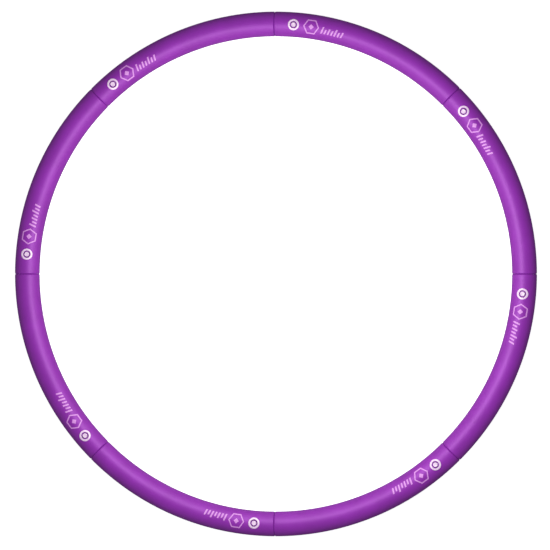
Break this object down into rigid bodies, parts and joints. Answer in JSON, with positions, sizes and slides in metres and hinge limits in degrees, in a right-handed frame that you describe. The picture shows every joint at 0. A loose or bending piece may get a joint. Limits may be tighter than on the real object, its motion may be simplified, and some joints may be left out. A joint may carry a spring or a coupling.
{
  "type": "sectional exercise hoop",
  "caption": "Foam-covered hoop of curved tube sections that plug together and lock with press buttons.",
  "frame": {"origin": "centre of the ring on the surface that the hoop lies on", "axes": "+Z along the ring's axis, up from the surface, with the push buttons on top; +X through the joint between sections 8 and 1; +Y through the joint between sections 2 and 3"},
  "size_m": [0.95, 0.95, 0.0466],
  "materials": {
    "purple_foam": "matt closed-cell foam rubber, purple",
    "white_plastic": "satin white",
    "grey_core_plastic": "satin light grey",
    "dark_connector_plastic": "satin black",
    "lilac_print": "screen print, pale lilac",
    "spring_steel": "bright spring steel"
  },
  "bodies": {
    "section_1": {"foam_sleeve_1": "purple_foam", "core_tube_1": "grey_core_plastic", "connector_1": "dark_connector_plastic", "snap_clip_1": "spring_steel", "button_bezel_1": "white_plastic"},
    "section_2": {"foam_sleeve_2": "purple_foam", "core_tube_2": "grey_core_plastic", "connector_2": "dark_connector_plastic", "snap_clip_2": "spring_steel", "button_bezel_2": "white_plastic"},
    "section_3": {"foam_sleeve_3": "purple_foam", "core_tube_3": "grey_core_plastic", "connector_3": "dark_connector_plastic", "snap_clip_3": "spring_steel", "button_bezel_3": "white_plastic"},
    "section_4": {"foam_sleeve_4": "purple_foam", "core_tube_4": "grey_core_plastic", "connector_4": "dark_connector_plastic", "snap_clip_4": "spring_steel", "button_bezel_4": "white_plastic"},
    "section_5": {"foam_sleeve_5": "purple_foam", "core_tube_5": "grey_core_plastic", "connector_5": "dark_connector_plastic", "snap_clip_5": "spring_steel", "button_bezel_5": "white_plastic"},
    "section_6": {"foam_sleeve_6": "purple_foam", "core_tube_6": "grey_core_plastic", "connector_6": "dark_connector_plastic", "snap_clip_6": "spring_steel", "button_bezel_6": "white_plastic"},
    "section_7": {"foam_sleeve_7": "purple_foam", "core_tube_7": "grey_core_plastic", "connector_7": "dark_connector_plastic", "snap_clip_7": "spring_steel", "button_bezel_7": "white_plastic"},
    "section_8": {"foam_sleeve_8": "purple_foam", "core_tube_8": "grey_core_plastic", "connector_8": "dark_connector_plastic", "snap_clip_8": "spring_steel", "button_bezel_8": "white_plastic"},
    "button_1": {"release_button_1": "white_plastic"},
    "button_2": {"release_button_2": "white_plastic"},
    "button_3": {"release_button_3": "white_plastic"},
    "button_4": {"release_button_4": "white_plastic"},
    "button_5": {"release_button_5": "white_plastic"},
    "button_6": {"release_button_6": "white_plastic"},
    "button_7": {"release_button_7": "white_plastic"},
    "button_8": {"release_button_8": "white_plastic"}
  },
  "joints": [
    {"name": "section_5_pull", "type": "slide", "parent": "section_1", "child": "section_5", "axis": [-0.9439, -0.3303, 0], "range_m": [0, 0.15679]},
    {"name": "section_2_pull", "type": "slide", "parent": "section_1", "child": "section_2", "axis": [-0.6663, 0.7456, 0], "range_m": [0, 0.06]},
    {"name": "section_3_pull", "type": "slide", "parent": "section_1", "child": "section_3", "axis": [-0.901, 0.4339, 0], "range_m": [0, 0.11087]},
    {"name": "section_4_pull", "type": "slide", "parent": "section_1", "child": "section_4", "axis": [-0.9984, 0.0561, 0], "range_m": [0, 0.14485]},
    {"name": "section_6_pull", "type": "slide", "parent": "section_1", "child": "section_6", "axis": [-0.7456, -0.6663, 0], "range_m": [0, 0.14485]},
    {"name": "section_7_pull", "type": "slide", "parent": "section_1", "child": "section_7", "axis": [-0.4339, -0.901, 0], "range_m": [0, 0.11087]},
    {"name": "section_8_pull", "type": "slide", "parent": "section_1", "child": "section_8", "axis": [-0.0561, -0.9984, 0], "range_m": [0, 0.06]},
    {"name": "button_1_press", "type": "slide", "parent": "section_1", "child": "button_1", "axis": [0, 0, -1], "range_m": [0, 0.002], "stiffness_N_per_m": 1500, "springref_m": -0.001, "deforming": ["snap_clip_2"]},
    {"name": "button_2_press", "type": "slide", "parent": "section_2", "child": "button_2", "axis": [0, 0, -1], "range_m": [0, 0.002], "stiffness_N_per_m": 1500, "springref_m": -0.001, "deforming": ["snap_clip_3"]},
    {"name": "button_3_press", "type": "slide", "parent": "section_3", "child": "button_3", "axis": [0, 0, -1], "range_m": [0, 0.002], "stiffness_N_per_m": 1500, "springref_m": -0.001, "deforming": ["snap_clip_4"]},
    {"name": "button_4_press", "type": "slide", "parent": "section_4", "child": "button_4", "axis": [0, 0, -1], "range_m": [0, 0.002], "stiffness_N_per_m": 1500, "springref_m": -0.001, "deforming": ["snap_clip_5"]},
    {"name": "button_5_press", "type": "slide", "parent": "section_5", "child": "button_5", "axis": [0, 0, -1], "range_m": [0, 0.002], "stiffness_N_per_m": 1500, "springref_m": -0.001, "deforming": ["snap_clip_6"]},
    {"name": "button_6_press", "type": "slide", "parent": "section_6", "child": "button_6", "axis": [0, 0, -1], "range_m": [0, 0.002], "stiffness_N_per_m": 1500, "springref_m": -0.001, "deforming": ["snap_clip_7"]},
    {"name": "button_7_press", "type": "slide", "parent": "section_7", "child": "button_7", "axis": [0, 0, -1], "range_m": [0, 0.002], "stiffness_N_per_m": 1500, "springref_m": -0.001, "deforming": ["snap_clip_8"]},
    {"name": "button_8_press", "type": "slide", "parent": "section_8", "child": "button_8", "axis": [0, 0, -1], "range_m": [0, 0.002], "stiffness_N_per_m": 1500, "springref_m": -0.001, "deforming": ["snap_clip_1"]}
  ],
  "couplings": [
    {"joint": "section_2_pull", "follows": "section_5_pull", "ratio": 0.38268},
    {"joint": "section_3_pull", "follows": "section_5_pull", "ratio": 0.70711},
    {"joint": "section_4_pull", "follows": "section_5_pull", "ratio": 0.92388},
    {"joint": "section_6_pull", "follows": "section_5_pull", "ratio": 0.92388},
    {"joint": "section_7_pull", "follows": "section_5_pull", "ratio": 0.70711},
    {"joint": "section_8_pull", "follows": "section_5_pull", "ratio": 0.38268}
  ]
}
